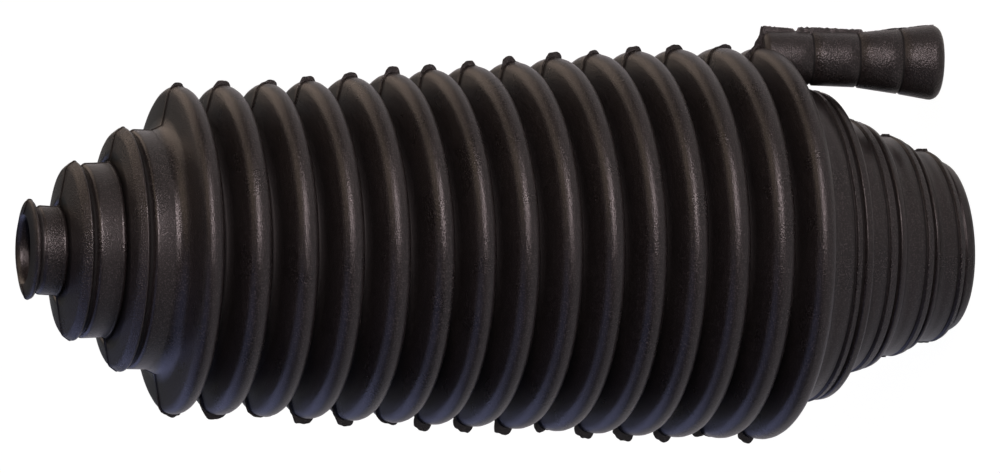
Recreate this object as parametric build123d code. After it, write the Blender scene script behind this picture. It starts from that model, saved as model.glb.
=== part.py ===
"""Bellows boot of a steering rack: one hollow rubber moulding.

The boot stands on its large end, axis along Z, origin at the middle of that end. From the floor up it
has four collars that step outwards, fifteen folds that grow slimmer, two more collars, and the neck
that grips the tie rod. A breather tube grows out of the lowest fold and hangs beside the large
collars, on +X. The wall is one skin, so the inside follows the outside.
"""
import os
from math import asin, atan2, cos, hypot, pi, sin

from build123d import *

# All lengths are in millimetres.
# Large end: any collar can be the clamped one, after the smaller ones are cut away.
LARGE_BORES = (34.0, 40.0, 46.5, 58.5)      # from the floor up
LARGE_COLLAR_LENGTHS = (9.0, 8.8, 9.6, 8.8)
LARGE_TAPERS = (0.9, 0.65, 0.3, 0.1)        # how far each collar's lip stays inside its full radius
LARGE_LIP_ROUND = 1.5          # rounding of each lip
LARGE_BAND = 4.3               # height of the lip and the tapered band above it

# Bellows
FOLD_COUNT = 15
CREST_RADIUS_LARGE = 39.7      # lowest fold
CREST_RADIUS_SMALL = 32.4      # topmost fold
BARREL = 1.6                   # how long the folds above the lowest one keep their width
PITCH_LARGE = 8.5
PITCH_SMALL = 9.1
FOLD_DEPTH = 9.2               # crest to valley, outside
CREST_FLAT = 2.2               # width of each crest
SHOULDER_WIDTH = 4.8           # width of the fold under its crest
SHOULDER_DEPTH = 1.75          # of that place below the crest
FOLD_WALL = 1.7
VALLEY_FLAT = 0.8              # width of each valley's floor, outside
CORE_CREST_FLAT = 1.2          # width of the hollow inside a crest
CORE_VALLEY_FLAT = 3.5         # width of the ridge inside a valley

# Small end: two more collars to cut to, then the neck that grips the tie rod.
SMALL_BORES = (42.0, 29.0)     # from the bellows up
SMALL_COLLAR_LENGTHS = (8.4, 9.6)
SMALL_BEAD = 0.6               # how far the bead at each collar's end stands out
SMALL_BEAD_ROUND = 2.3
SMALL_BEAD_LENGTH = 2.6
NECK_BORE = 13.0
NECK_WALL = 2.2
NECK_LENGTH = 5.3
LIP_STAND_OUT = 1.0            # of the lip round the tie rod's mouth
LIP_LENGTH = 2.5
LIP_CREST_HEIGHT = 1.5         # of the lip's fullest point above its foot
LIP_ROUND = 0.5

# What all collars share
COLLAR_WALL = 2.5
GROOVE_DEPTH = 0.3             # of the ring groove beside each lip or bead
GROOVE_WIDTH = 0.5

# Breather tube: cut back to the segment whose bore suits the pipe.
TUBE_CLEARANCE = 1.3           # to the widest collar, at the fold
TUBE_DROP = 0.55               # of its closed end below the fold's crest
TUBE_LEAN = 2.2                # towards the boot's axis at the free end, degrees
TUBE_SEGMENTS = (9.9, 9.5, 8.7, 8.4)    # lengths, from the fold to the free end
TUBE_BORES = (6.4, 6.4, 7.4, 9.0)
TUBE_RADII = (5.2, 5.35, 5.55, 6.6, 7.6)  # outside, where the segments begin and end
TUBE_STEP = 0.15               # each segment begins this much wider than the last one ended
TUBE_CAP_WALL = 2.0            # closed end, on the fold
TUBE_CAP_ROUND = 1.2
TUBE_END_ROUND = 0.9           # open end
PORT_DIAMETER = 4.0            # passage from the tube into the fold
PORT_INSET = 1.5               # of the passage's axis from the hollow's crest in that fold


def tangent_path(circles):
    """Edges in the XZ plane that wrap circles (radius, height, rounding), walking from first to last.

    A positive rounding has its centre on the left of the walk, a negative one on the right, and a
    rounding of 0 is a sharp corner.
    """
    lines = []
    for (x0, z0, round0), (x1, z1, round1) in zip(circles, circles[1:]):
        heading = atan2(z1 - z0, x1 - x0) + asin((round0 - round1) / hypot(x1 - x0, z1 - z0))
        left_x = -sin(heading)
        left_z = cos(heading)
        begin = Vector(x0 - round0 * left_x, 0, z0 - round0 * left_z)
        finish = Vector(x1 - round1 * left_x, 0, z1 - round1 * left_z)
        lines.append((begin, finish, Vector(cos(heading), 0, sin(heading))))
    edges = [Edge.make_line(lines[0][0], lines[0][1])]
    for (_, arrival, heading), (departure, finish, _) in zip(lines, lines[1:]):
        if (departure - arrival).length > 1e-6:
            edges.append(Edge.make_tangent_arc(arrival, heading, departure))
        if (finish - departure).length > 1e-6:
            edges.append(Edge.make_line(departure, finish))
    return edges


def revolved(*paths):
    """Solid of revolution round Z from the paths that together close one outline."""
    edges = []
    for path in paths:
        edges += tangent_path(path)
    return revolve(Face(Wire(edges)), Axis.Z)


def crests():
    """Radius and height of each crest, from the lowest fold up."""
    height = sum(LARGE_COLLAR_LENGTHS) + PITCH_LARGE / 2
    found = []
    for number in range(FOLD_COUNT):
        share = 1 - number / (FOLD_COUNT - 1)
        swell = sin(pi / 2 * share) ** BARREL
        radius = CREST_RADIUS_SMALL + (CREST_RADIUS_LARGE - CREST_RADIUS_SMALL) * swell
        found.append((radius, height))
        growth = (number / (FOLD_COUNT - 2)) ** 2
        height += PITCH_LARGE + (PITCH_SMALL - PITCH_LARGE) * growth
    return found


def valleys():
    """Radius and height of the outer valley between each fold and the next one up."""
    folds = crests()
    return [((below + above) / 2 - FOLD_DEPTH, (low + high) / 2)
            for (below, low), (above, high) in zip(folds, folds[1:])]


def bellows_top():
    """Height at which the topmost fold meets the first small collar."""
    return crests()[-1][1] + PITCH_SMALL / 2


def flat(radius, height, width):
    """Two sharp corners of a cylinder stretch, lower one first."""
    return [(radius, height - width / 2, 0), (radius, height + width / 2, 0)]


def crest_corners(crest, level):
    """The corners of one crest and its shoulders, lowest first."""
    low_shoulder, high_shoulder = flat(crest - SHOULDER_DEPTH, level, SHOULDER_WIDTH)
    return [low_shoulder] + flat(crest, level, CREST_FLAT) + [high_shoulder]


def outside():
    """From the rim on the floor, up over the collars and folds, to the mouth of the neck."""
    path = [(LARGE_BORES[0] / 2, 0, 0)]
    height = 0
    for bore, length, taper in zip(LARGE_BORES, LARGE_COLLAR_LENGTHS, LARGE_TAPERS):
        radius = bore / 2 + COLLAR_WALL
        lip = radius - taper
        groove = height + LARGE_LIP_ROUND + GROOVE_WIDTH
        path += [(lip - LARGE_LIP_ROUND, height + LARGE_LIP_ROUND, LARGE_LIP_ROUND),
                 (lip, groove - GROOVE_WIDTH / 2, 0),
                 (lip - GROOVE_DEPTH, groove, 0),
                 (lip, groove + GROOVE_WIDTH / 2, 0),
                 (radius, height + LARGE_BAND, 0)]
        height += length
        path.append((radius, height, 0))
    for (crest, level), (valley, next_level) in zip(crests(), valleys()):
        path += crest_corners(crest, level) + flat(valley, next_level, VALLEY_FLAT)
    path += crest_corners(*crests()[-1])
    height = bellows_top()
    for bore, length in zip(SMALL_BORES, SMALL_COLLAR_LENGTHS):
        radius = bore / 2 + COLLAR_WALL
        path.append((radius, height, 0))
        height += length
        bead = radius + SMALL_BEAD
        groove = height - SMALL_BEAD_LENGTH - GROOVE_WIDTH / 2
        path += [(radius, groove - GROOVE_WIDTH / 2, 0),
                 (radius - GROOVE_DEPTH, groove, 0),
                 (bead, groove + GROOVE_WIDTH / 2, 0),
                 (bead - SMALL_BEAD_ROUND, height - SMALL_BEAD_ROUND, SMALL_BEAD_ROUND)]
    neck = NECK_BORE / 2 + NECK_WALL
    lip = neck + LIP_STAND_OUT
    path += [(neck, height, 0),
             (neck, height + NECK_LENGTH, 0),
             (lip - LIP_ROUND, height + NECK_LENGTH + LIP_CREST_HEIGHT, LIP_ROUND),
             (NECK_BORE / 2, height + NECK_LENGTH + LIP_LENGTH, 0)]
    return path


def inside():
    """From the mouth of the neck down to the rim, one wall in from the outside."""
    height = bellows_top() + sum(SMALL_COLLAR_LENGTHS)
    path = [(NECK_BORE / 2, height + NECK_LENGTH + LIP_LENGTH, 0),
            (NECK_BORE / 2, height - COLLAR_WALL, 0),
            (SMALL_BORES[1] / 2, height - COLLAR_WALL, 0)]
    height -= SMALL_COLLAR_LENGTHS[1] + COLLAR_WALL
    path += [(SMALL_BORES[1] / 2, height, 0),
             (SMALL_BORES[0] / 2, height, 0),
             (SMALL_BORES[0] / 2, bellows_top() - COLLAR_WALL / 2, 0)]
    crest, level = crests()[-1]
    path += flat(crest - FOLD_WALL, level, CORE_CREST_FLAT)[::-1]
    for (valley, low), (crest, level) in zip(valleys()[::-1], crests()[-2::-1]):
        path += flat(valley - FOLD_WALL, low, CORE_VALLEY_FLAT)[::-1]
        path += flat(crest - FOLD_WALL, level, CORE_CREST_FLAT)[::-1]
    height = sum(LARGE_COLLAR_LENGTHS)
    path.append((LARGE_BORES[-1] / 2, height + COLLAR_WALL / 2, 0))
    for bore, narrower, length in zip(LARGE_BORES[::-1], LARGE_BORES[-2::-1], LARGE_COLLAR_LENGTHS[::-1]):
        height -= length
        path += [(bore / 2, height + COLLAR_WALL, 0),
                 (narrower / 2, height + COLLAR_WALL, 0)]
    path.append((LARGE_BORES[0] / 2, 0, 0))
    return path


def tube_body():
    """The breather tube without its bore, on Z, its closed end at height 0 and its open end below."""
    path = [(0, 0, 0), (TUBE_RADII[0] - TUBE_CAP_ROUND, -TUBE_CAP_ROUND, -TUBE_CAP_ROUND)]
    height = 0
    for length, begin, end in zip(TUBE_SEGMENTS, TUBE_RADII, TUBE_RADII[1:]):
        if height:
            path.append((begin + TUBE_STEP, height, 0))
        height -= length
        path.append((end, height, 0))
    path[-1] = (TUBE_RADII[-1] - TUBE_END_ROUND, height + TUBE_END_ROUND, -TUBE_END_ROUND)
    path.append((0, height, 0))
    return revolved(path, [(0, height, 0), (0, 0, 0)])


def tube_bore():
    """The bore of the breather tube, stepped like its outside, and open at the free end."""
    top = -TUBE_CAP_WALL
    bottom = 0
    bore = Part()
    for length, diameter in zip(TUBE_SEGMENTS, TUBE_BORES):
        bottom -= length
        bore += Pos(0, 0, bottom) * Cylinder(diameter / 2, top - bottom,
                                             align=(Align.CENTER, Align.CENTER, Align.MIN))
        top = bottom
    return bore


def beside_collars(radius, drop):
    """Where something along the breather tube sits, so far out and so far below the lowest crest."""
    return Location((radius, 0, crests()[0][1] - drop), (0, TUBE_LEAN, 0))


def port():
    """The passage between the lowest fold's hollow and the breather tube."""
    radius = crests()[0][0] - FOLD_WALL - PORT_INSET
    return beside_collars(radius, TUBE_CAP_WALL) * Cylinder(PORT_DIAMETER / 2, 2 * TUBE_CAP_WALL)


def bellows_boot():
    mouth = inside()[0]
    skin = revolved(outside(), inside())
    hollow = revolved(inside(), [inside()[-1], (0, 0, 0), (0, mouth[1], 0), mouth])
    widest_collar = LARGE_BORES[-1] / 2 + COLLAR_WALL
    seat = beside_collars(widest_collar + TUBE_CLEARANCE + TUBE_RADII[0], TUBE_DROP)
    return skin + (seat * tube_body() - hollow) - seat * tube_bore() - port()


os.makedirs("parts", exist_ok=True)
export_step(bellows_boot(), "parts/bellows_boot.step")
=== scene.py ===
"""Looks of the steering rack bellows boot: grained black rubber with its mould lines and flash.

The boot stands on its large end, as in the frame: axis along Z, breather tube on +X. The camera is turned on
its side, so that the boot lies across the picture. Lengths are in millimetres until a mesh is made.
"""
from math import asin, atan2, ceil, cos, exp, hypot, pi, radians, sin, tau

import bpy
from mathutils import Matrix, Vector, noise


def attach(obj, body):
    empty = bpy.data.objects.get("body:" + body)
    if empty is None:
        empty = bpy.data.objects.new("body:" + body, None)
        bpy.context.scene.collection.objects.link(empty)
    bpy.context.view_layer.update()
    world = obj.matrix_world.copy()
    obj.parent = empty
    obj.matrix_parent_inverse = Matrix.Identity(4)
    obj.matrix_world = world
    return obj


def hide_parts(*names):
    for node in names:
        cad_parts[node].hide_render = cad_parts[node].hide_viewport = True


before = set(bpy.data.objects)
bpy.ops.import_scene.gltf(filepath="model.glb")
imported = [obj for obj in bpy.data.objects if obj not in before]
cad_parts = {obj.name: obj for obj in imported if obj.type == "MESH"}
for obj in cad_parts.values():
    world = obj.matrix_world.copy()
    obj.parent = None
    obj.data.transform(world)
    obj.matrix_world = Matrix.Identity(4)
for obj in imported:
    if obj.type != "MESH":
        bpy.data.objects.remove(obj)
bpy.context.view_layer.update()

MM = 0.001

# Grain of the rubber's skin, from the dull creases through smooth bands to pebbles
# Values below 0 also paint shade into the colour: darkest in the creases, a little less in the fold valleys.
CREASE = -1
VALLEY = -0.8
BARE = 0
SMOOTH = 0.1
LIP = 0.2
SEAT = 0.25
FINE = 0.3
RIDGE = 0.4
CREST = 0.42
COARSE = 0.6
PEBBLY = 1

# Large end, from the floor up. Heights are above each collar's own end.
LARGE_RADII = (19.5, 22.4, 25.8, 31.8)
LARGE_LIPS = (17.85, 21.4, 25.1, 31.4)     # radius of each lip under its groove
LARGE_NOSES = (1.1, 0.9, 0.9, 0.8)         # rounding of the lip's nose
LARGE_ENDS = (16.4, 20.2, 24.0, 30.5)      # where the nose meets the end face
LARGE_LENGTHS = (9.0, 8.8, 9.6, 8.8)
LARGE_GROOVES = (2.6, 1.7, 2.0, 2.2)
LARGE_LINES = (4.4, 3.8, 4.4, 4.2)
LARGE_BORES = (34.0, 40.0, 46.5, 58.5)
LARGE_LIP_ROUND = 0.4
LARGE_LIP_DROP = 0.75                      # middle of the lip's rounding, below the groove's height
GROOVE_DEPTH = 1.25                        # from the lip
GROOVE_WALL = 0.5                          # least wall behind a groove
GROOVE_LOW = 0.15                          # its bottom's lower edge, below the groove's height
GROOVE_HIGH = 0.05                         # and its upper edge, above that height
BAND_START = (0.4, 0.6, 0.15)              # pebbly band: in from the radius, above the groove, rounding
BAND_FINISH = (0.1, 0.5, 0.2)              # in from the radius, below the line, rounding
LINE_DEPTH = 0.5
LINE_HALF = 0.1
LINE_SLOPE = 0.35                          # where the smooth band starts, above the line

# Bellows
FOLD_COUNT = 15
CREST_RADIUS_LARGE = 39.7
CREST_RADIUS_SMALL = 32.4
BARREL = 1.6                               # power by which the folds swell towards the large end
PITCH_LARGE = 8.5
PITCH_SMALL = 9.1
PITCH_GROWTH = 2                           # power by which the pitch grows along the boot
FOLD_DEPTH = 9.2
CREST_ROUND = 2.4
VALLEY_FLAT = 0.8
FOLD_WALL = 1.7
CORE_CREST_FLAT = 1.2
CORE_VALLEY_FLAT = 3.5

# Small end. Each collar has a seat for a clamp, a slot and a bead.
SMALL_RADII = (23.4, 17.0)
SMALL_BEADS = (23.9, 17.5)
SMALL_BORES = (42.0, 29.0)
SMALL_LENGTHS = (8.4, 9.6)
COLLAR_WALL = 2.5
LAST_FLANK = (1.0, 0.75)                   # where the last fold ends: out from the seat, and below its foot
FOOT_OUT = 0.1                             # a foot's rounding has its middle so far outside the radius above
FOOT_ROUND = 0.3
SEAT_START = (1.1, 1.3)                    # above the foot, where the seat's grain changes
SHOULDER_ROUND = 0.9
SHOULDER_DROP = 4.4                        # below the collar's top, as the next heights are
SLOT_DEPTH = 1.2                           # from the seat's radius
SLOT_DROPS = (3.3, 3.0)
BEAD_RIDGE = (0.3, 2.15)                   # rounding of the bead's lower edge, and its drop
BEAD_EDGE = (0.12, 1.88)                   # in from the bead's radius, and its drop
BEAD_ROUND = 1.45                          # rounding of the bead's top,
BEAD_INSET = 1.95                          # its middle in from the bead's radius,
BEAD_DROP = 1.85                           # and its drop

# Neck for the tie rod, above the last collar
NECK_RADIUS = 8.55
NECK_BORE = 13.0
NECK_LENGTH = 5.3
NECK_FOOT = 0.5                            # middle of the foot's rounding
NECK_START = (1.3, 1.5)                    # where the neck's grain changes
NECK_SHOULDER = (0.8, 0.9)                 # rounding under the groove, and its drop from the neck's length
NECK_GROOVE = (0.6, 0.25)                  # depth of the groove, and its height above the neck's length
LIP_RADIUS = 9.7
LIP_LENGTH = 2.5
LIP_ROUND = 0.5
LIP_MIDDLE = 1.3                           # of the lip's rounding, above the neck's length
MOUTH_ROUND = 0.25
MOUTH_BORE = 1.2                           # where the bore's wall starts, above the neck's length

# Posture of the soft boot: sums of steps (amount, from, to) and of bumps (amount, middle, width) by height
SHRUNK = (((0.22, 40, 56),), ((0.42, 92, 24),))
BENT = (((-0.75, 47, 27), (-0.45, 36, 0), (0.5, 184, 194)), ((0.15, 74, 15), (-0.3, 135, 25), (0.2, 173, 5)))
RAISED = (((0.3, 12, 3),), ((-0.25, 147, 7), (-0.7, 166.4, 2.2)))
TIPPED = (((0.022, 110, 165), (-0.03, 14, 2)), ((0.012, 45, 25),))
LEANED = ((), ((0.034, 100, 36), (-0.012, 176, 6)))
LIFTED = 1.15                              # how far the middle folds sit above their even places,
LIFTED_STEPS = ((44, 60), (122, 104))      # and the steps up to it from below and from above

# Breather tube
TUBE_SEAT = (37.5, -1.3, 39.9)             # middle of its closed end
TUBE_LEAN = radians(2.2)                   # towards the collars, down the tube
TUBE_SWAY = radians(10)                    # towards -Y
TUBE_SEGMENTS = (9.9, 9.5, 8.7, 8.4)
TUBE_BORES = (6.4, 6.4, 7.4, 9.0)
TUBE_RADII = (5.2, 5.35, 5.55, 6.6, 7.6)
TUBE_CAP_WALL = 2.0
TUBE_CAP_ROUND = 1.4
TUBE_RIM_ROUND = 1.9
JOINT_DEPTH = 0.3                          # groove between two segments
JOINT_HALF = 0.12
JOINT_SLOPE = 0.4
JOINT_STEP = 0.1                           # how far a segment starts outside the last one's end
AXIS_GAP = 0.05                            # how near the axis the closed end's rings come

# Mesh
ARC_STEP = radians(18)
LINE_STEP = 2.8                            # widest gap between two rings on a straight stretch
HALF_COLUMNS = 72                          # from one parting line round to the other
SEAM_HEIGHT = 0.18
SEAM_ANGLES = (radians(-2.2), radians(173.5))   # where the mould's halves met, on the +X and -X sides
SEAM_OFFSETS = (-0.55, -0.36, -0.18, 0, 0.18, 0.36, 0.55)   # fine columns beside each parting line
SEAM_SHARES = (0, -0.7, 1, 1, 1, -0.7, 0)   # their heights: a ridge between two shallow grooves

# Flash where the mould's halves met on each crest, from the lowest fold up. It is followed from the small
# end's side of the crest: where it begins, steps up and stops, measured along the outline from the crest's
# top, and how high it stands before and after the step.
FLASH_OUTER = ((2.0, 1.2, -0.5, 0.1, 0.55), (2.4, -0.6, -1.7, 0.2, 0.9), (2.4, 1.8, -0.5, 0.2, 0.9),
               (2.0, 1.5, -0.5, 0.3, 1.0), (2.6, 0.7, -0.2, 0.25, 0.8), (2.4, 0.8, -0.9, 0.3, 1.2),
               (2.0, 1.3, 0.2, 0.4, 1.4), (2.2, 1.6, -0.1, 0.3, 1.05), (2.3, 1.5, -0.5, 0.3, 1.0),
               (2.3, 0.7, -0.9, 0.35, 1.35), (1.9, 1.3, -0.7, 0.25, 0.9), (2.0, 1.2, -0.6, 0.25, 0.9),
               (1.8, -0.4, -1.6, 0.25, 0.9), (1.4, 0.9, -0.9, 0.3, 0.95), (1.1, 0.6, -0.6, 0.2, 0.75))
FLASH_INNER = ((5.0, 2.4, 0.2, 0.3, 1.4), (5.5, 2.9, 2.1, 0.2, 1.7), (5.0, 2.4, 0.0, 0.3, 1.45),
               (5.5, 2.6, -0.4, 0.35, 1.6), (5.5, 2.4, -0.4, 0.3, 1.45), (5.5, 2.5, 1.3, 0.4, 1.35),
               (5.5, 1.9, -0.2, 0.5, 1.75), (5.5, 2.1, -0.6, 0.45, 1.5), (5.5, 2.0, -0.4, 0.45, 1.65),
               (5.0, -0.9, -1.7, 0.4, 1.25), (5.0, 1.2, -0.9, 0.45, 1.4), (5.0, 1.1, -1.4, 0.4, 1.4),
               (5.0, -1.7, -2.8, 0.45, 1.2), (5.0, 1.0, -1.8, 0.45, 1.25), (4.5, -0.4, -2.0, 0.35, 1.15))
FLASH_LEAD = 1.2                           # how far each starts before the place where it begins
FLASH_TAIL = 0.8                           # and how far it runs on after the place where it stops
BLOCK_SHARE = 0.85                         # how much of the block still stands where it stops
BLOCK_SLOPE = 0.4                          # from there back to its full height
STEP_AFTER = 0.2                           # the step's slope reaches so far past the step,
STEP_BEFORE = 0.9                          # and so far before it,
STEP_EXTRA = 0.1                           # where it is so much higher than the ledge
LEDGE_SLOPE = 0.3                          # the ledge rises to its height over so much
COLLAR_FLASH = ((6.0, 3.0, 0.45), (14.3, 12.1, 0.5), (23.4, 22.4, 0.25))    # upper end, lower end, height
COLLAR_FLASH_SLOPES = (0.4, 0.15)          # at its upper and lower end
FLASH_STEP = 0.22
FLASH_THICKNESS = 0.36
FLASH_TIP = 0.6                            # thickness at its edge, as a share
FLASH_ROOT = 0.4                           # how deep it goes into the boot
FLASH_DRIFT = 0.12                         # how far its edge wanders sideways
DRIFT_DENSITY = 0.8
FLANK_TURN = radians(78)                   # how far a crest's outline turns before its flank runs straight
RAGGED_SHARE = 0.2                         # unevenness of its height, as a share of it
RAGGED_DENSITY = 1.7
RAGGED_SLICE = 3.1                         # which part of the noise is taken
NICK_HEIGHT = 0.05                         # finer unevenness
NICK_DENSITY = 4
NICK_SLICE = 9

# Fin along the outer side of the breather tube: distance from its closed end, and height there
TUBE_FLASH = ((0.1, 1.15), (3.5, 1.0), (6.3, 0.75), (6.6, 0.3), (7.0, 0.35), (7.3, 1.05), (11.5, 1.05),
              (16, 0.85), (20.4, 0.7), (20.7, 0.12), (24, 0.15), (26.5, 0.35), (28, 0.3), (29.8, 0.25),
              (33, 0.4), (35, 0.3))
TUBE_FLASH_END = 1.5                       # how far it stops before the tube's rim
TUBE_FLASH_SINK = 0.05

# Torn web of flash between the tube's closed end and the fold above: X and Z of its free edge and its root
WEB = (((43.8, 39.9), (42.2, 37.5)), ((43.1, 40.1), (42.0, 38.0)), ((42.1, 40.3), (41.2, 38.4)),
       ((41.3, 40.7), (40.5, 38.8)), ((40.6, 41.2), (39.8, 39.2)), ((39.8, 41.5), (38.8, 39.8)),
       ((39.2, 42.1), (37.8, 40.5)), ((38.5, 42.9), (36.8, 41.5)), ((38.1, 43.4), (35.8, 42.8)))
WEB_Y = -1.1
WEB_WAVE = 0.15
WEB_WAVE_DENSITY = 0.9
WEB_ROOT_HALF = 0.2
WEB_TIP_HALF = 0.1

# Looks of the rubber. A noise is its scale per metre, its detail and, where it isn't 0.5, its roughness. The
# heights of bumps are in metres.
RUBBER_COLOR = (0.0085, 0.0073, 0.007)
DUST_COLOR = (0.05, 0.046, 0.046, 1)
RUBBER_SPECULAR = 0.32
MOTTLE_NOISE = (90, 4)
MOTTLE_RANGE = (0.3, 0.7)
MOTTLE_SHADES = (0.8, 1.2)
MOTTLE_ROUGHNESS = (0.26, 0.32)
DUST_NOISE = (3600, 1)
DUST_RANGE = (0.5, 0.85)
CREASE_SHADE = 0.1                         # share of the colour that painted shade leaves in a crease
CREASE_DULLNESS = 0.5                      # roughness that a crease adds
FINE_NOISE = (4300, 1)
FINE_STRENGTH = 0.55
FINE_HEIGHT = 0.0001
PEBBLE_NOISE = (3000, 2, 0.6)
PEBBLE_HEIGHT = 0.00025

# Studio, in metres and watts
WHITE = (1, 1, 1, 1)
FLOOR_HALF = 6
FLOOR_COLOR = (0.85, 0.85, 0.85, 1)
FLOOR_GLOW = 1.09
FLOOR_DIRECT = 0.9                         # share of the glow that the camera sees on the floor
FLOOR_MIRRORED = 0.28                      # and that reflections show
WORLD_DIM = 0.02
WORLD_DIRECT = 1
WORLD_MIRRORED = 0.08
AIM = (0, 0, 0.096)
LAMPS = (("key", (0.62, -1.3, 0.47), (0.9, 0.06), 20, (1, 0.82, 0.83)),    # name, place, size, power, colour
         ("warm_top", (0.95, -0.5, 1.3), (1.3, 1.3), 7, (1, 0.76, 0.56)),
         ("cool_top", (-0.95, -0.4, 1.2), (1.5, 1.5), 3.8, (0.38, 0.46, 1)),
         ("warm_back", (0.95, 1.0, 0.75), (1.3, 1.3), 5.5, (1, 0.77, 0.62)),
         ("cool_back", (-0.95, 1.0, 0.75), (1.3, 1.3), 4.5, (0.5, 0.54, 1)))

# Camera: its place in millimetres, where its right and its front point, its film and lens in millimetres
CAMERA_PLACE = (5.6, -1048.0, 423.65)
CAMERA_RIGHT = (-0.01099, -0.29887, -0.95423)
CAMERA_FORWARD = (-0.00344, 0.95429, -0.29885)
FILM_WIDTH = 36
LENS = 198
CLIP_END = 20                              # in metres


def wrapped(circles):
    """Points (radius, height, grain and painted shade) that wrap circles (radius, height, rounding, grain and
    painted shade) in turn.

    A positive rounding has its centre on the left of the walk, a negative one on the right.
    """
    headings = []
    for (x0, z0, round0, _), (x1, z1, round1, _) in zip(circles, circles[1:]):
        tangent = asin((round0 - round1) / hypot(x1 - x0, z1 - z0))
        headings.append(atan2(z1 - z0, x1 - x0) + tangent)
    headings = [headings[0]] + headings + [headings[-1]]
    points = []
    for (x, z, rounding, grain_and_painted_shade), arrival, departure in zip(circles, headings, headings[1:]):
        turn = (departure - arrival + pi) % tau - pi
        steps = ceil(abs(turn) / ARC_STEP) if rounding else 0
        for step in range(steps + 1):
            heading = arrival + turn * step / max(steps, 1)
            points.append((x + rounding * sin(heading), z - rounding * cos(heading), grain_and_painted_shade))
    return points


def divided(points):
    """The same points, with more of them on long straight stretches."""
    dense = [points[0]]
    for begin, finish in zip(points, points[1:]):
        count = max(1, ceil(hypot(finish[0] - begin[0], finish[1] - begin[1]) / LINE_STEP))
        for step in range(1, count + 1):
            dense.append(tuple(a + (b - a) * step / count for a, b in zip(begin, finish)))
    return dense


def smooth_step(low, high, value):
    """From 0 at low to 1 at high, which may be the lower of the two, and level beyond them."""
    share = min(1, max(0, (value - low) / (high - low)))
    return share * share * (3 - 2 * share)


def bump(middle, width, value):
    """1 at the middle, falling to nothing on both sides."""
    return exp(-((value - middle) / width) ** 2)


def posture(height, steps, bumps):
    """Sum of the steps and bumps at a height."""
    return (sum(amount * smooth_step(low, high, height) for amount, low, high in steps)
            + sum(amount * bump(middle, width, height) for amount, middle, width in bumps))


def crests():
    """Radius and height of each crest, from the lowest fold up. The soft folds have shrunk a little."""
    height = sum(LARGE_LENGTHS) + PITCH_LARGE / 2
    found = []
    for number in range(FOLD_COUNT):
        swell = sin(pi / 2 * (1 - number / (FOLD_COUNT - 1))) ** BARREL
        radius = CREST_RADIUS_SMALL + (CREST_RADIUS_LARGE - CREST_RADIUS_SMALL) * swell
        found.append((radius - posture(height, *SHRUNK), height))
        height += PITCH_LARGE + (PITCH_SMALL - PITCH_LARGE) * (number / (FOLD_COUNT - 2)) ** PITCH_GROWTH
    return found


def valleys():
    """Radius and height of the outer valley between each fold and the next one up."""
    folds = crests()
    return [((below + above) / 2 - FOLD_DEPTH, (low + high) / 2)
            for (below, low), (above, high) in zip(folds, folds[1:])]


def large_collars():
    """The four large collars from the rim up: a lip, its groove, a pebbly band, a line and a smooth band."""
    path = [(LARGE_BORES[0] / 2, 0, 0, BARE)]
    height = 0
    for radius, lip, nose, end, length, groove, line, bore in zip(
            LARGE_RADII, LARGE_LIPS, LARGE_NOSES, LARGE_ENDS, LARGE_LENGTHS, LARGE_GROOVES, LARGE_LINES,
            LARGE_BORES):
        bottom = max(lip - GROOVE_DEPTH, bore / 2 + GROOVE_WALL)
        path += [(end, height + nose, nose, FINE),
                 (lip - LARGE_LIP_ROUND, height + groove - LARGE_LIP_DROP, LARGE_LIP_ROUND, LIP),
                 # Painted shade: the groove's bottom and the line are marked as creases, whose colour is
                 # darkened.
                 (bottom, height + groove - GROOVE_LOW, 0, CREASE),
                 (bottom, height + groove + GROOVE_HIGH, 0, CREASE),
                 (radius - BAND_START[0], height + groove + BAND_START[1], BAND_START[2], PEBBLY),
                 (radius - BAND_FINISH[0], height + line - BAND_FINISH[1], BAND_FINISH[2], PEBBLY),
                 (radius - LINE_DEPTH, height + line - LINE_HALF, 0, CREASE),
                 (radius - LINE_DEPTH, height + line + LINE_HALF, 0, CREASE),
                 (radius, height + line + LINE_SLOPE, 0, SMOOTH)]
        height += length
        path.append((radius, height, 0, SMOOTH))
    return path


def bellows():
    """The folds, from the lowest crest to the highest one."""
    path = []
    for (crest, level), (valley, next_level) in zip(crests(), valleys()):
        path += [(crest - CREST_ROUND, level, CREST_ROUND, CREST),
                 # Painted shade: the valleys' value darkens the colour at the bottom of each fold, fading up
                 # the flanks.
                 (valley, next_level - VALLEY_FLAT / 2, 0, VALLEY),
                 (valley, next_level + VALLEY_FLAT / 2, 0, VALLEY)]
    crest, level = crests()[-1]
    path.append((crest - CREST_ROUND, level, CREST_ROUND, CREST))
    return path


def small_collars(height):
    """Both small collars from a height up: foot, seat, shoulder, slot and bead."""
    path = [(SMALL_RADII[0] + LAST_FLANK[0], height - LAST_FLANK[1], 0, SMOOTH)]
    for radius, bead, length in zip(SMALL_RADII, SMALL_BEADS, SMALL_LENGTHS):
        height += length
        path += [(radius + FOOT_OUT, height - length + FOOT_ROUND, FOOT_ROUND, SMOOTH),
                 (radius, height - length + SEAT_START[0], 0, FINE),
                 (radius, height - length + SEAT_START[1], 0, SEAT),
                 (radius - SHOULDER_ROUND, height - SHOULDER_DROP, SHOULDER_ROUND, FINE),
                 # Painted shade: the slot's colour is darkened as a crease.
                 (radius - SLOT_DEPTH, height - SLOT_DROPS[0], 0, CREASE),
                 (radius - SLOT_DEPTH, height - SLOT_DROPS[1], 0, CREASE),
                 (bead - BEAD_RIDGE[0], height - BEAD_RIDGE[1], BEAD_RIDGE[0], RIDGE),
                 (bead - BEAD_EDGE[0], height - BEAD_EDGE[1], 0, PEBBLY),
                 (bead - BEAD_INSET, height - BEAD_DROP, BEAD_ROUND, PEBBLY)]
    return path


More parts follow.
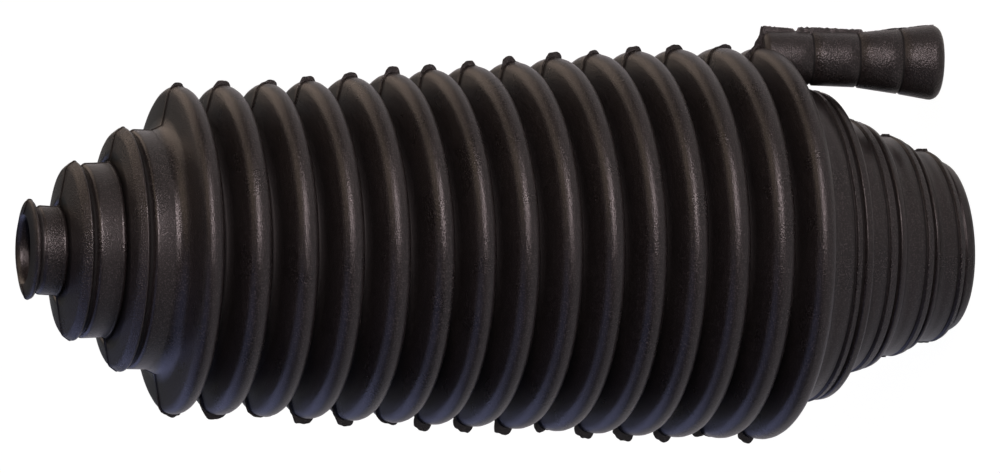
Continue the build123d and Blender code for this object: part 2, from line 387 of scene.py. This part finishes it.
def neck(height):
    """The neck from a height up, its groove and its lip."""
    top = height + NECK_LENGTH
    return [(NECK_RADIUS + FOOT_OUT, height + NECK_FOOT, FOOT_ROUND, SMOOTH),
            (NECK_RADIUS, height + NECK_START[0], 0, FINE),
            (NECK_RADIUS, height + NECK_START[1], 0, COARSE),
            (NECK_RADIUS - NECK_SHOULDER[0], top - NECK_SHOULDER[1], NECK_SHOULDER[0], COARSE),
            # Painted shade: the groove's colour is darkened as a crease.
            (NECK_RADIUS - NECK_GROOVE[0], top + NECK_GROOVE[1], 0, CREASE),
            (LIP_RADIUS - LIP_ROUND, top + LIP_MIDDLE, LIP_ROUND, COARSE),
            (NECK_BORE / 2 + MOUTH_ROUND, top + LIP_LENGTH - MOUTH_ROUND, MOUTH_ROUND, FINE)]


def outside():
    """From the rim on the floor up to the mouth of the neck."""
    height = crests()[-1][1] + PITCH_SMALL / 2
    return large_collars() + bellows() + small_collars(height) + neck(height + sum(SMALL_LENGTHS))


def inside():
    """From the mouth of the neck down to the rim."""
    top = crests()[-1][1] + PITCH_SMALL / 2
    height = top + sum(SMALL_LENGTHS)
    path = [(NECK_BORE / 2, height + NECK_LENGTH + MOUTH_BORE, 0, BARE),
            (NECK_BORE / 2, height - COLLAR_WALL, 0, BARE),
            (SMALL_BORES[1] / 2, height - COLLAR_WALL, 0, BARE)]
    height -= SMALL_LENGTHS[1] + COLLAR_WALL
    path += [(SMALL_BORES[1] / 2, height, 0, BARE),
             (SMALL_BORES[0] / 2, height, 0, BARE),
             (SMALL_BORES[0] / 2, top - COLLAR_WALL / 2, 0, BARE)]
    crest, level = crests()[-1]
    rungs = [(crest, level, CORE_CREST_FLAT)]
    for (valley, low), (crest, level) in zip(valleys()[::-1], crests()[-2::-1]):
        rungs += [(valley, low, CORE_VALLEY_FLAT), (crest, level, CORE_CREST_FLAT)]
    for radius, level, width in rungs:
        path += [(radius - FOLD_WALL, level + width / 2, 0, BARE),
                 (radius - FOLD_WALL, level - width / 2, 0, BARE)]
    height = sum(LARGE_LENGTHS)
    path.append((LARGE_BORES[-1] / 2, height + COLLAR_WALL / 2, 0, BARE))
    for bore, narrower, length in zip(LARGE_BORES[::-1], LARGE_BORES[-2::-1], LARGE_LENGTHS[::-1]):
        height -= length
        path += [(bore / 2, height + COLLAR_WALL, 0, BARE),
                 (narrower / 2, height + COLLAR_WALL, 0, BARE)]
    return path


def seam_columns(radius):
    """Angle of each column of the mesh, and its share of the parting line's height."""
    edge = SEAM_OFFSETS[-1] / radius
    found = []
    for middle, following in zip(SEAM_ANGLES, (SEAM_ANGLES[1], SEAM_ANGLES[0] + tau)):
        found += [(middle + offset / radius, share) for offset, share in zip(SEAM_OFFSETS, SEAM_SHARES)]
        for step in range(1, HALF_COLUMNS):
            found.append((middle + edge + (following - middle - 2 * edge) * step / HALF_COLUMNS, 0))
    return found


def rubber_piece(name, vertices, faces, grain_and_painted_shade_values, smooth):
    """An object of vertices in millimetres, with the grain and painted shade that the rubber reads at each of
    them.
    """
    mesh = bpy.data.meshes.new(name)
    mesh.from_pydata([tuple(value * MM for value in vertex) for vertex in vertices], [], faces)
    attribute = mesh.attributes.new("grain_and_painted_shade", "FLOAT", "POINT")
    attribute.data.foreach_set("value", grain_and_painted_shade_values)
    mesh.polygons.foreach_set("use_smooth", [smooth] * len(mesh.polygons))
    mesh.update()
    piece = bpy.data.objects.new(name, mesh)
    bpy.context.scene.collection.objects.link(piece)
    return piece


def lathe_piece(name, outer, inner, seam, place):
    """A closed piece turned round Z from the outer outline and the inner one that leads back to its start.

    seam is the height of the parting lines, and place moves a point to where it belongs.
    """
    outer = divided(outer)
    inner = divided(inner)
    if inner[0][:2] == outer[-1][:2]:
        inner = inner[1:]
    outline = outer + inner
    vertices = []
    grain_and_painted_shade_values = []
    count = len(outline)
    for index, (radius, height, grain_and_painted_shade) in enumerate(outline):
        before = outline[index - 1]
        after = outline[(index + 1) % count]
        along = Vector((after[0] - before[0], after[1] - before[1])).normalized()
        for angle, share in seam_columns(radius):
            rise = share * seam if index < len(outer) else 0
            spread = radius + rise * along.y
            vertices.append(place(spread * cos(angle), spread * sin(angle), height - rise * along.x))
            grain_and_painted_shade_values.append(grain_and_painted_shade)
    columns = len(vertices) // count
    faces = []
    for row in range(count):
        above = (row + 1) % count
        for column in range(columns):
            right = (column + 1) % columns
            faces.append((row * columns + column, row * columns + right,
                          above * columns + right, above * columns + column))
    return rubber_piece(name, vertices, faces, grain_and_painted_shade_values, True)


def on_boot(x, y, z):
    """Where a point of the straight boot lies on the soft one.

    Its axis bends towards +X, its folds sit above or below their even places, and its discs tip a little
    about Y and lean about X.
    """
    low_step, high_step = LIFTED_STEPS
    lift = LIFTED * smooth_step(*low_step, z) * smooth_step(*high_step, z) + posture(z, *RAISED)
    return (x + posture(z, *BENT), y, z + lift - x * posture(z, *TIPPED) + y * posture(z, *LEANED))


def boot_skin():
    """The collars, folds and neck, as one hollow skin."""
    return lathe_piece("boot_skin", wrapped(outside()), wrapped(inside()), SEAM_HEIGHT, on_boot)


def tube_outline():
    """From the middle of the closed end down the outside to the open end, with a groove at each joint."""
    path = [(AXIS_GAP, 0, 0, COARSE),
            (TUBE_RADII[0] - TUBE_CAP_ROUND, -TUBE_CAP_ROUND, -TUBE_CAP_ROUND, COARSE)]
    height = 0
    for length, begin, end in zip(TUBE_SEGMENTS, TUBE_RADII, TUBE_RADII[1:]):
        if height:
            path += [(begin, height + JOINT_SLOPE, 0, COARSE),
                     # Painted shade: each joint's groove is darkened as a crease.
                     (begin - JOINT_DEPTH, height + JOINT_HALF, 0, CREASE),
                     (begin - JOINT_DEPTH, height - JOINT_HALF, 0, CREASE),
                     (begin + JOINT_STEP, height - JOINT_SLOPE, 0, COARSE)]
        height -= length
    path += [(TUBE_RADII[-1] - TUBE_RIM_ROUND, height + TUBE_RIM_ROUND, -TUBE_RIM_ROUND, COARSE),
             (TUBE_BORES[-1] / 2, height, 0, LIP)]
    return path


def tube_inside():
    """From the tube's open end up its stepped bore to the middle of the closed end."""
    height = -sum(TUBE_SEGMENTS)
    path = []
    for length, diameter in zip(TUBE_SEGMENTS[::-1], TUBE_BORES[::-1]):
        if not path or path[-1][0] > diameter / 2:
            path.append((diameter / 2, height, 0, BARE))
        height += length
        path.append((diameter / 2, height, 0, BARE))
    path[-1] = (TUBE_BORES[0] / 2, -TUBE_CAP_WALL, 0, BARE)
    path.append((AXIS_GAP, -TUBE_CAP_WALL, 0, BARE))
    return path


def on_tube(x, y, z):
    """From the tube's own axis, its closed end at 0, to where it hangs beside the collars."""
    turn = Matrix.Rotation(-TUBE_SWAY, 3, "X") @ Matrix.Rotation(TUBE_LEAN, 3, "Y")
    return tuple(Vector(TUBE_SEAT) + turn @ Vector((x, y, z)))


def breather_tube():
    """The stepped tube, closed above and open below."""
    return lathe_piece("breather_tube", wrapped(tube_outline()), wrapped(tube_inside()), 0, on_tube)


def ramp(stops, value):
    """The height at value on a line through stops (place, height), level beyond its ends."""
    if value <= stops[0][0]:
        return stops[0][1]
    for (low, low_height), (high, high_height) in zip(stops, stops[1:]):
        if value <= high:
            return low_height + (high_height - low_height) * (value - low) / (high - low)
    return stops[-1][1]


def crest_point(crest, level, travel):
    """Radius and height on the crest's outline, and the outward normal, so far above the crest's top."""
    turn = max(-FLANK_TURN, min(FLANK_TURN, travel / CREST_ROUND))
    beyond = abs(travel) - abs(turn) * CREST_ROUND
    side = 1 if travel > 0 else -1
    normal = (cos(turn), sin(turn))
    return (crest - CREST_ROUND + CREST_ROUND * normal[0] - beyond * abs(normal[1]),
            level + CREST_ROUND * normal[1] + beyond * side * normal[0], *normal)


def ragged(rise, x, z):
    """A fin's height at a place, made uneven in broad waves and fine nicks."""
    wave = noise.noise(Vector((x * RAGGED_DENSITY, RAGGED_SLICE, z * RAGGED_DENSITY)))
    nick = noise.noise(Vector((x, z * NICK_DENSITY, NICK_SLICE)))
    return max(0, rise * (1 + RAGGED_SHARE * wave) + NICK_HEIGHT * nick)


def flash_rows(stations, angle, place):
    """Root and tip on both faces of a thin fin, at each station: radius, height, normal out and up, rise."""
    rows = []
    for radius, height, out, up, rise in stations:
        rise = ragged(rise, radius, height)
        drift = FLASH_DRIFT * noise.noise(Vector((height * DRIFT_DENSITY, radius * DRIFT_DENSITY, angle)))
        row = []
        for level, thickness in ((-FLASH_ROOT, FLASH_THICKNESS), (rise, FLASH_THICKNESS * FLASH_TIP)):
            reach = radius + level * out
            for side in (0.5, -0.5):
                across = side * thickness + (drift if level > 0 else 0)
                row.append(place(reach * cos(angle) - across * sin(angle),
                                 reach * sin(angle) + across * cos(angle), height + level * up))
        rows.append((row[0], row[2], row[3], row[1]))
    return rows


def crest_flash(crest, level, begin, step, stop, ledge, block):
    """Stations down over one crest: a low ledge, a step up and a block."""
    begin += FLASH_LEAD
    stop -= FLASH_TAIL
    stops = ((stop, 0), (stop + FLASH_TAIL, block * BLOCK_SHARE), (stop + FLASH_TAIL + BLOCK_SLOPE, block),
             (step - STEP_AFTER, block), (step + STEP_BEFORE, ledge + STEP_EXTRA),
             (begin - LEDGE_SLOPE, ledge), (begin, 0))
    count = ceil((begin - stop) / FLASH_STEP)
    stations = []
    for number in range(count + 1):
        travel = begin + (stop - begin) * number / count
        stations.append((*crest_point(crest, level, travel), ramp(stops, travel)))
    return stations


def collar_flash(radius, high, low, block):
    """Stations down the side of a large collar."""
    high_slope, low_slope = COLLAR_FLASH_SLOPES
    stops = ((low, 0), (low + low_slope, block), (high - high_slope, block), (high, 0))
    count = ceil((high - low) / FLASH_STEP)
    stations = []
    for number in range(count + 1):
        height = high + (low - high) * number / count
        stations.append((radius, height, 1, 0, ramp(stops, height)))
    return stations


def tube_flash():
    """Stations down the outer side of the breather tube."""
    ends = [sum(TUBE_SEGMENTS[:count]) for count in range(len(TUBE_RADII))]
    outline = tuple(zip(ends, TUBE_RADII))
    stations = []
    for number in range(ceil((sum(TUBE_SEGMENTS) - TUBE_FLASH_END) / FLASH_STEP) + 1):
        travel = number * FLASH_STEP
        stations.append((ramp(outline, travel) - TUBE_FLASH_SINK, -travel, 1, 0, ramp(TUBE_FLASH, travel)))
    return stations


def web_rows():
    """Root and tip on both faces of the torn web, which waves a little."""
    rows = []
    for number, ((tip_x, tip_z), (root_x, root_z)) in enumerate(WEB):
        y = WEB_Y + WEB_WAVE * noise.noise(Vector((number * WEB_WAVE_DENSITY, 0, 0)))
        rows.append(((root_x, y + WEB_ROOT_HALF, root_z), (tip_x, y + WEB_TIP_HALF, tip_z),
                     (tip_x, y - WEB_TIP_HALF, tip_z), (root_x, y - WEB_ROOT_HALF, root_z)))
    return rows


def mould_flash():
    """Every fin of flash, as one piece of separate closed strips."""
    fins = [web_rows(), flash_rows(tube_flash(), 0, on_tube)]
    for (crest, level), outer, inner in zip(crests(), FLASH_OUTER, FLASH_INNER):
        for angle, stops in zip(SEAM_ANGLES, (outer, inner)):
            fins.append(flash_rows(crest_flash(crest, level, *stops), angle, on_boot))
    for radius, (high, low, block) in zip(LARGE_RADII, COLLAR_FLASH):
        for angle in SEAM_ANGLES:
            fins.append(flash_rows(collar_flash(radius, high, low, block), angle, on_boot))
    vertices = []
    faces = []
    for rows in fins:
        first = len(vertices)
        last = first + 4 * (len(rows) - 1)
        for row in rows:
            vertices += row
        for start in range(first, last, 4):
            for corner in range(4):
                following = (corner + 1) % 4
                faces.append((start + corner, start + following, start + 4 + following, start + 4 + corner))
        faces += [(first + 3, first + 2, first + 1, first), (last, last + 1, last + 2, last + 3)]
    return rubber_piece("mould_flash", vertices, faces, [FINE] * len(vertices), False)


def node(tree, kind, inputs=(), **settings):
    """A shader node. An input is another node's output, to link it to, or a plain value."""
    made = tree.nodes.new(kind)
    for key, value in settings.items():
        setattr(made, key, value)
    for key, value in dict(inputs).items():
        if isinstance(value, bpy.types.NodeSocket):
            tree.links.new(value, made.inputs[key])
        else:
            made.inputs[key].default_value = value
    return made


def noise_value(tree, place, scale, detail, roughness=0.5):
    """A procedural noise of about 0.5 at a place on the object."""
    inputs = {"Vector": place, "Scale": scale, "Detail": detail, "Roughness": roughness}
    return node(tree, "ShaderNodeTexNoise", inputs).outputs["Fac"]


def mapped(tree, value, source=(0, 1), target=(0, 1)):
    """A value moved from one range to another, and kept within it."""
    inputs = {"Value": value, "From Min": source[0], "From Max": source[1],
              "To Min": target[0], "To Max": target[1]}
    return node(tree, "ShaderNodeMapRange", inputs).outputs[0]


def calculated(tree, operation, *values):
    """The result of a calculation on values or outputs."""
    return node(tree, "ShaderNodeMath", enumerate(values), operation=operation).outputs[0]


def rubber():
    """Black rubber: pebbly where the grain is 1, finer near 0, dull in the creases at -1, with painted shade
    darkening its colour there and in the fold valleys.
    """
    material = bpy.data.materials.new("black_rubber")
    material.use_nodes = True
    tree = material.node_tree
    shader = tree.nodes["Principled BSDF"]
    shader.inputs["Specular IOR Level"].default_value = RUBBER_SPECULAR
    place = node(tree, "ShaderNodeTexCoord").outputs["Object"]
    grain_and_painted_shade = node(tree, "ShaderNodeAttribute", attribute_name="grain_and_painted_shade").outputs["Fac"]
    mottle = noise_value(tree, place, *MOTTLE_NOISE)
    # Painted shade: below 0, in creases and fold valleys, the colour and its dust keep only a share of their
    # brightness.
    share_left_by_painted_shade = mapped(tree, grain_and_painted_shade, (CREASE, BARE), (CREASE_SHADE, 1))

    mottle_and_painted_shade = calculated(tree, "MULTIPLY", mapped(tree, mottle, MOTTLE_RANGE, MOTTLE_SHADES), share_left_by_painted_shade)
    specks = noise_value(tree, place, *DUST_NOISE)
    dust = calculated(tree, "MULTIPLY", mapped(tree, specks, DUST_RANGE), share_left_by_painted_shade)
    body = node(tree, "ShaderNodeVectorMath", {0: RUBBER_COLOR, "Scale": mottle_and_painted_shade}, operation="SCALE").outputs[0]
    # A Mix node takes its two colours on inputs 6 and 7 and gives the mixed one on output 2.
    color = node(tree, "ShaderNodeMix", {0: dust, 6: body, 7: DUST_COLOR}, data_type="RGBA").outputs[2]
    tree.links.new(color, shader.inputs["Base Color"])

    satin = mapped(tree, mottle, MOTTLE_RANGE, MOTTLE_ROUGHNESS)
    dull = mapped(tree, share_left_by_painted_shade, (CREASE_SHADE, 1), (CREASE_DULLNESS, 0))
    tree.links.new(calculated(tree, "ADD", satin, dull), shader.inputs["Roughness"])

    fine = noise_value(tree, place, *FINE_NOISE)
    pebbles = noise_value(tree, place, *PEBBLE_NOISE)
    coarse = mapped(tree, grain_and_painted_shade, (LIP, PEBBLY))
    fine_bump = node(tree, "ShaderNodeBump", {"Height": fine, "Strength": FINE_STRENGTH,
                                              "Distance": FINE_HEIGHT}).outputs[0]
    pebble_bump = node(tree, "ShaderNodeBump", {"Height": pebbles, "Strength": coarse,
                                                "Distance": PEBBLE_HEIGHT, "Normal": fine_bump}).outputs[0]
    tree.links.new(pebble_bump, shader.inputs["Normal"])
    return material


def plain_share(tree, direct, mirrored):
    """How much of a plain white shows: to the camera and through glass, and in reflections."""
    rays = node(tree, "ShaderNodeLightPath").outputs
    plain = calculated(tree, "MAXIMUM", rays["Is Camera Ray"], rays["Is Transmission Ray"])
    plain = calculated(tree, "MULTIPLY", plain, direct)
    return calculated(tree, "MULTIPLY_ADD", rays["Is Glossy Ray"], mirrored, plain)


def floor():
    """A pale matt floor that looks nearly white to the camera and keeps a faint shadow."""
    mesh = bpy.data.meshes.new("floor")
    corners = [(x * FLOOR_HALF, y * FLOOR_HALF, 0) for x, y in ((-1, -1), (1, -1), (1, 1), (-1, 1))]
    mesh.from_pydata(corners, [], [(0, 1, 2, 3)])
    plane = bpy.data.objects.new("floor", mesh)
    bpy.context.scene.collection.objects.link(plane)
    material = bpy.data.materials.new("floor")
    material.use_nodes = True
    tree = material.node_tree
    tree.nodes.remove(tree.nodes["Principled BSDF"])
    matt = node(tree, "ShaderNodeBsdfDiffuse", {"Color": FLOOR_COLOR}).outputs[0]
    glow = node(tree, "ShaderNodeEmission", {"Color": WHITE, "Strength": FLOOR_GLOW}).outputs[0]
    share = plain_share(tree, FLOOR_DIRECT, FLOOR_MIRRORED)
    mixed = node(tree, "ShaderNodeMixShader", {0: share, 1: matt, 2: glow}).outputs[0]
    tree.links.new(mixed, tree.nodes["Material Output"].inputs["Surface"])
    mesh.materials.append(material)


def area_light(name, position, size, energy, color):
    """A rectangular lamp that faces the middle of the boot."""
    data = bpy.data.lights.new(name, "AREA")
    data.shape = "RECTANGLE"
    data.size, data.size_y = size
    data.energy = energy
    data.color = color
    lamp = bpy.data.objects.new(name, data)
    lamp.location = position
    lamp.rotation_euler = (Vector(AIM) - Vector(position)).to_track_quat("-Z", "Y").to_euler()
    bpy.context.scene.collection.objects.link(lamp)


def light_studio():
    """A dim room seen white by the camera: a low strip before the boot, warm light from +X, cool from -X."""
    world = bpy.data.worlds.new("studio")
    bpy.context.scene.world = world
    world.use_nodes = True
    tree = world.node_tree
    background = tree.nodes["Background"]
    strength = mapped(tree, plain_share(tree, WORLD_DIRECT, WORLD_MIRRORED), target=(WORLD_DIM, 1))
    tree.links.new(strength, background.inputs["Strength"])
    background.inputs["Color"].default_value = WHITE
    for lamp in LAMPS:
        area_light(*lamp)


def camera():
    """The camera, turned on its side."""
    data = bpy.data.cameras.new("camera")
    data.sensor_width = FILM_WIDTH
    data.lens = LENS
    data.clip_end = CLIP_END
    eye = bpy.data.objects.new("camera", data)
    forward = Vector(CAMERA_FORWARD).normalized()
    up = Vector(CAMERA_RIGHT).cross(forward).normalized()
    right = forward.cross(up)
    turn = Matrix((right, up, -forward)).transposed()
    eye.matrix_world = Matrix.Translation(Vector(CAMERA_PLACE) * MM) @ turn.to_4x4()
    bpy.context.scene.collection.objects.link(eye)
    bpy.context.scene.camera = eye


camera()
finish_rubber = rubber()
skin = boot_skin()
tube = breather_tube()
flash = mould_flash()
for piece in (skin, tube, flash):
    piece.data.materials.append(finish_rubber)
    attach(piece, "root")
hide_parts("bellows_boot")
floor()
light_studio()
bpy.context.scene.view_settings.view_transform = "Standard"
